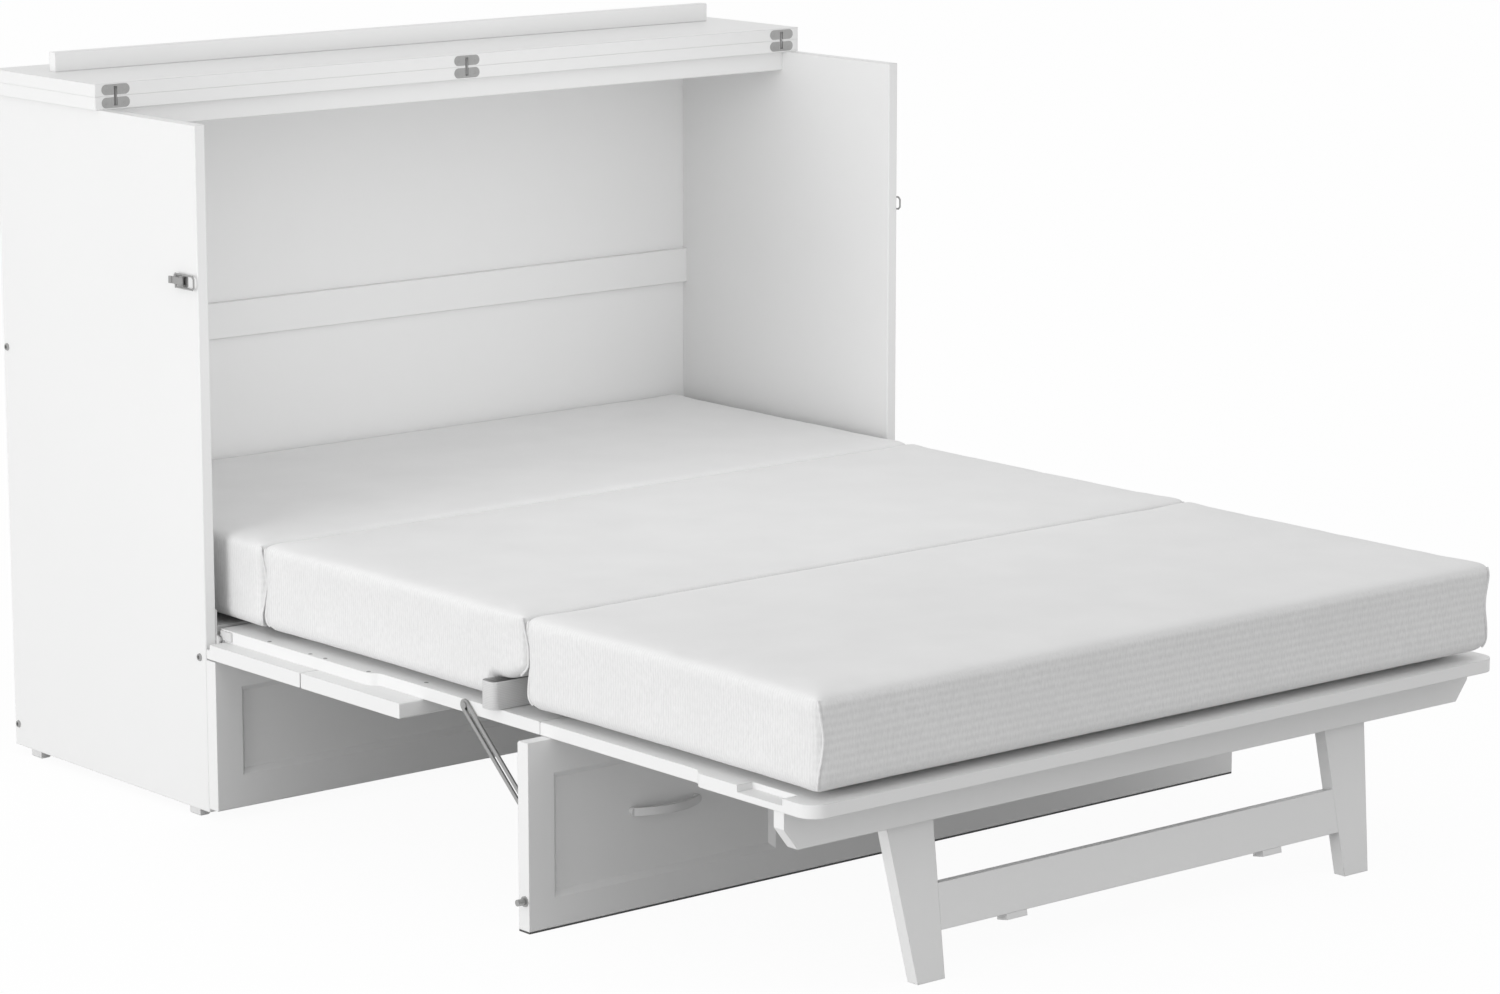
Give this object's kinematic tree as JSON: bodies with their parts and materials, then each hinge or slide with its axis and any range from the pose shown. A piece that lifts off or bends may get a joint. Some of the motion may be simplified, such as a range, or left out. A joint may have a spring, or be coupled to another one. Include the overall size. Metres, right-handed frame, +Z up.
{
  "type": "murphy wall bed",
  "caption": "White cabinet bed that folds out of a chest: hinged lid, folding platform with panelled front, leg frame, and a mattress folded in sections.",
  "frame": {"origin": "on the floor under the middle of the open bed", "axes": "+Z up, +X to the right seen from the foot of the bed, +Y towards the wall behind the cabinet"},
  "size_m": [1.492, 2.024, 1.186],
  "materials": {
    "white_paint": "satin",
    "nickel_hardware": "satin",
    "painted_pull": "satin",
    "mattress_knit": "matte",
    "strap_webbing": "matte",
    "dark_strip": "matte",
    "glide_plastic": "matte"
  },
  "bodies": {
    "cabinet": {"left_side_panel": "white_paint", "right_side_panel": "white_paint", "back_panel": "white_paint", "back_batten": "white_paint", "top_rail": "white_paint", "lid_rear_leaf": "white_paint", "lid_rear_plates": "nickel_hardware", "lid_link_pins": "nickel_hardware", "head_deck": "white_paint", "deck_cleats": "white_paint", "deck_front_rail": "white_paint", "deck_rear_rail": "white_paint", "lower_front_panel": "white_paint", "floor_glides": "glide_plastic", "side_screws": "nickel_hardware", "latch_bases": "nickel_hardware", "pivot_brackets": "painted_pull"},
    "lid_leaf": {"lid_front_leaf": "white_paint", "lid_front_plates": "nickel_hardware", "lid_batten": "white_paint"},
    "lid_link": {"lid_links": "nickel_hardware"},
    "middle_platform": {"middle_slab": "white_paint", "inner_front_board": "white_paint", "outer_front_board": "white_paint", "pivot_plates": "painted_pull", "stay_bosses": "nickel_hardware", "slab_hinge_leaves": "nickel_hardware", "slab_hinge_pins": "nickel_hardware", "panel_hinge_leaves": "nickel_hardware", "panel_hinge_pins": "nickel_hardware"},
    "foot_platform": {"foot_slab": "white_paint", "foot_apron": "white_paint", "slab_hinge_flaps": "nickel_hardware", "leg_brackets": "nickel_hardware", "leg_pins": "nickel_hardware"},
    "leg_frame": {"left_leg": "white_paint", "right_leg": "white_paint", "leg_stretcher": "white_paint", "stretcher_blocks": "white_paint"},
    "panel_front": {"mid_panel": "white_paint", "floor_strip": "dark_strip", "left_pull": "painted_pull", "centre_pull": "painted_pull", "right_pull": "painted_pull", "keeper_studs": "nickel_hardware", "panel_hinge_flaps": "nickel_hardware", "stay_brackets": "nickel_hardware"},
    "stays": {"left_stay": "nickel_hardware", "right_stay": "nickel_hardware", "stay_sliders": "nickel_hardware"},
    "head_section": {"mattress_head": "mattress_knit"},
    "middle_section": {"mattress_middle": "mattress_knit", "mattress_strap": "strap_webbing"},
    "foot_section": {"mattress_foot": "mattress_knit"},
    "left_lever": {"left_latch_lever": "nickel_hardware"},
    "left_loop": {"left_latch_loop": "nickel_hardware"},
    "right_lever": {"right_latch_lever": "nickel_hardware"},
    "right_loop": {"right_latch_loop": "nickel_hardware"}
  },
  "joints": [
    {"name": "bed_fold", "type": "hinge", "parent": "cabinet", "child": "middle_platform", "pos_m": [0, 0.424, 0.291], "axis": [-1, 0, 0], "range_deg": [0, 90], "deforming": ["mattress_head", "mattress_middle", "mattress_foot", "mattress_strap"]},
    {"name": "foot_fold", "type": "hinge", "parent": "middle_platform", "child": "foot_platform", "pos_m": [0, -0.3885, 0.3085], "axis": [-1, 0, 0], "range_deg": [0, 180]},
    {"name": "leg_fold", "type": "hinge", "parent": "foot_platform", "child": "leg_frame", "pos_m": [0, -0.9098, 0.275], "axis": [-1, 0, 0], "range_deg": [-99.9, 0]},
    {"name": "panel_fold", "type": "hinge", "parent": "middle_platform", "child": "panel_front", "pos_m": [0, -0.392, 0.288], "axis": [-1, 0, 0], "range_deg": [-90, 0]},
    {"name": "stay_swing", "type": "hinge", "parent": "panel_front", "child": "stays", "pos_m": [0, -0.38, 0.15], "axis": [-1, 0, 0], "range_deg": [0, 116.3]},
    {"name": "head_section_lift", "type": "hinge", "parent": "cabinet", "child": "head_section", "pos_m": [0, 0.92235, 0.39565], "axis": [-1, 0, 0], "range_deg": [0, 90]},
    {"name": "middle_section_fold", "type": "hinge", "parent": "head_section", "child": "middle_section", "pos_m": [0, 0.331, 0.3076], "axis": [-1, 0, 0], "range_deg": [-180, 0]},
    {"name": "foot_section_fold", "type": "hinge", "parent": "middle_section", "child": "foot_section", "pos_m": [0, -0.3482, 0.463], "axis": [-1, 0, 0], "range_deg": [0, 180]},
    {"name": "lid_fold", "type": "hinge", "parent": "cabinet", "child": "lid_leaf", "pos_m": [0, 0.6986, 1.133], "axis": [1, 0, 0], "range_deg": [0, 180]},
    {"name": "lid_link_swing", "type": "hinge", "parent": "cabinet", "child": "lid_link", "pos_m": [0, 0.7095, 1.1225], "axis": [1, 0, 0], "range_deg": [0, 90]},
    {"name": "left_lever_throw", "type": "hinge", "parent": "cabinet", "child": "left_lever", "pos_m": [-0.737, 0.46, 0.865], "axis": [0, 0, 1], "range_deg": [0, 165]},
    {"name": "left_loop_swing", "type": "hinge", "parent": "left_lever", "child": "left_loop", "pos_m": [-0.7383, 0.475, 0.865], "axis": [0, 0, 1], "range_deg": [-165, 0]},
    {"name": "right_lever_throw", "type": "hinge", "parent": "cabinet", "child": "right_lever", "pos_m": [0.737, 0.46, 0.865], "axis": [0, 0, -1], "range_deg": [0, 165]},
    {"name": "right_loop_swing", "type": "hinge", "parent": "right_lever", "child": "right_loop", "pos_m": [0.7383, 0.475, 0.865], "axis": [0, 0, -1], "range_deg": [-165, 0]}
  ],
  "couplings": [
    {"joint": "foot_fold", "follows": "bed_fold", "ratio": 2},
    {"joint": "leg_fold", "follows": "bed_fold", "ratio": -1.11},
    {"joint": "panel_fold", "follows": "bed_fold", "ratio": -1},
    {"joint": "stay_swing", "follows": "bed_fold", "ratio": 1.292},
    {"joint": "head_section_lift", "follows": "bed_fold", "ratio": 1},
    {"joint": "middle_section_fold", "follows": "bed_fold", "ratio": -2},
    {"joint": "foot_section_fold", "follows": "bed_fold", "ratio": 2},
    {"joint": "lid_link_swing", "follows": "lid_fold", "ratio": 0.5},
    {"joint": "left_loop_swing", "follows": "left_lever_throw", "ratio": -1},
    {"joint": "right_loop_swing", "follows": "right_lever_throw", "ratio": -1}
  ]
}
